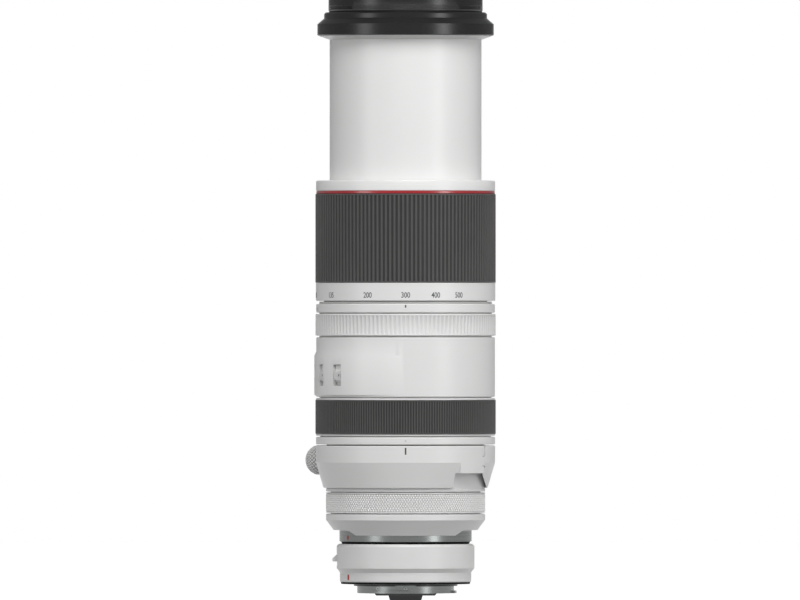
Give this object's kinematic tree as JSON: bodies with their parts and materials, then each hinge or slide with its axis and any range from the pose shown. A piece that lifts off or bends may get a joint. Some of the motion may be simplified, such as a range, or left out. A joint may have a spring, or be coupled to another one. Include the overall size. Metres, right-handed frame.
{
  "type": "camera zoom lens",
  "caption": "White telephoto zoom lens with extending barrel, tripod collar and a tele converter locked on its rear mount.",
  "frame": {"origin": "centre of the camera flange plane of the converter at the lens's rear", "axes": "+Z along the optical axis to the front of the lens, -Y the side with the index marks, +Y the tripod foot"},
  "size_m": [0.0992, 0.1249, 0.3135],
  "materials": {
    "white_paint": "fine textured satin",
    "black_plastic": "satin",
    "black_anodised": "matte",
    "grip_rubber": "matte",
    "satin_steel": "fine turned",
    "bare_aluminium": "satin",
    "lens_glass": "coated, polished",
    "roller_brass": "satin",
    "red_trim": "satin",
    "circuit_board": "satin",
    "pale_grey_trim": "satin",
    "screw_steel": "satin"
  },
  "bodies": {
    "barrel": {"converter_housing": "white_paint", "converter_lens_mount": "satin_steel", "converter_camera_mount": "satin_steel", "converter_gasket": "black_plastic", "mount_boss_ring": "black_plastic", "converter_baffle": "black_plastic", "converter_front_cell": "black_anodised", "converter_element": "lens_glass", "converter_contacts": "black_plastic", "lens_mount_ring": "satin_steel", "mount_gasket": "black_plastic", "small_screws": "screw_steel", "rear_barrel": "white_paint", "rear_housing": "white_paint", "main_circuit_board": "circuit_board", "optics_barrel": "black_anodised", "rear_element": "lens_glass", "focus_guide_rods": "satin_steel", "main_sleeve": "pale_grey_trim", "iris_unit": "black_anodised", "guide_tube": "bare_aluminium", "main_barrel": "white_paint", "index_ring": "white_paint"},
    "front_barrel": {"inner_tube": "white_paint", "cam_rollers": "roller_brass", "flare_ring": "pale_grey_trim", "filter_ring": "black_plastic", "name_ring": "black_plastic", "front_cell": "black_anodised", "front_element": "lens_glass"},
    "zoom_ring": {"zoom_ring": "white_paint", "zoom_grip": "grip_rubber", "red_ring": "red_trim", "drive_sleeve": "black_anodised", "cam_tube": "bare_aluminium", "front_collar": "white_paint"},
    "variator": {"variator_cell": "black_anodised", "variator_element": "lens_glass"},
    "tension_ring": {"tension_ring": "white_paint"},
    "focus_ring": {"focus_ring": "white_paint", "focus_grip": "grip_rubber"},
    "control_ring": {"control_ring": "white_paint"},
    "collar": {"collar_base": "white_paint", "tripod_foot": "white_paint", "foot_screws": "screw_steel", "hinge_pin": "satin_steel"},
    "gate": {"collar_gate": "white_paint", "clamp_washer": "screw_steel"},
    "lock_knob": {"lock_knob": "white_paint"},
    "focus_limit_switch": {"focus_limit_switch": "white_paint"},
    "focus_mode_switch": {"focus_mode_switch": "white_paint"},
    "stabiliser_switch": {"stabiliser_switch": "white_paint"},
    "stabiliser_mode_switch": {"stabiliser_mode_switch": "white_paint"},
    "release_lever": {"release_lever": "white_paint", "lock_pin": "satin_steel"},
    "focus_group": {"focus_cell": "black_anodised", "focus_element": "lens_glass"},
    "stabiliser_up_down": {"stabiliser_up_down": "black_anodised"},
    "stabiliser_across": {"stabiliser_carrier": "black_anodised", "stabiliser_element": "lens_glass"}
  },
  "joints": [
    {"name": "zoom_turn", "type": "hinge", "parent": "barrel", "child": "zoom_ring", "pos_m": [0, 0, 0.18], "axis": [0, 0, -1], "range_deg": [-84, 36.3]},
    {"name": "front_slide", "type": "slide", "parent": "barrel", "child": "front_barrel", "axis": [0, 0, 1], "range_m": [-0.07481, 0.03234]},
    {"name": "variator_slide", "type": "slide", "parent": "barrel", "child": "variator", "axis": [0, 0, 1], "range_m": [-0.01746, 0.00755]},
    {"name": "tension_turn", "type": "hinge", "parent": "barrel", "child": "tension_ring", "pos_m": [0, 0, 0.1347], "axis": [0, 0, 1], "range_deg": [0, 60]},
    {"name": "focus_turn", "type": "hinge", "parent": "barrel", "child": "focus_ring", "pos_m": [0, 0, 0.0869], "axis": [0, 0, 1], "continuous": true},
    {"name": "control_turn", "type": "hinge", "parent": "barrel", "child": "control_ring", "pos_m": [0, 0, 0.0423], "axis": [0, 0, 1], "continuous": true},
    {"name": "collar_turn", "type": "hinge", "parent": "barrel", "child": "collar", "pos_m": [0, 0, 0.061], "axis": [0, 0, 1], "continuous": true},
    {"name": "gate_hinge", "type": "hinge", "parent": "collar", "child": "gate", "pos_m": [0.03847, -0.02177, 0.0648], "axis": [0, 0, 1], "range_deg": [0, 55]},
    {"name": "knob_turn", "type": "hinge", "parent": "gate", "child": "lock_knob", "pos_m": [-0.044, 0.0486, 0.0642], "axis": [-1, 0, 0], "range_deg": [0, 360]},
    {"name": "focus_limit_slide", "type": "slide", "parent": "barrel", "child": "focus_limit_switch", "axis": [0, 0, 1], "range_m": [-0.00175, 0]},
    {"name": "focus_mode_slide", "type": "slide", "parent": "barrel", "child": "focus_mode_switch", "axis": [0, 0, 1], "range_m": [-0.00175, 0]},
    {"name": "stabiliser_slide", "type": "slide", "parent": "barrel", "child": "stabiliser_switch", "axis": [0, 0, 1], "range_m": [-0.00175, 0]},
    {"name": "stabiliser_mode_slide", "type": "slide", "parent": "barrel", "child": "stabiliser_mode_switch", "axis": [0, 0, 1], "range_m": [-0.0035, 0]},
    {"name": "release_press", "type": "slide", "parent": "barrel", "child": "release_lever", "axis": [0, 0, -1], "range_m": [0, 0.002], "stiffness_N_per_m": 400, "springref_m": -0.003},
    {"name": "focus_slide", "type": "slide", "parent": "barrel", "child": "focus_group", "axis": [0, 0, 1], "range_m": [-0.004, 0.004]},
    {"name": "stabiliser_up_down_slide", "type": "slide", "parent": "barrel", "child": "stabiliser_up_down", "axis": [0, 1, 0], "range_m": [-0.001, 0.001]},
    {"name": "stabiliser_across_slide", "type": "slide", "parent": "stabiliser_up_down", "child": "stabiliser_across", "axis": [1, 0, 0], "range_m": [-0.001, 0.001]}
  ],
  "couplings": [
    {"joint": "front_slide", "follows": "zoom_turn", "m_per_rad": 0.051021},
    {"joint": "variator_slide", "follows": "zoom_turn", "m_per_rad": 0.011907}
  ]
}
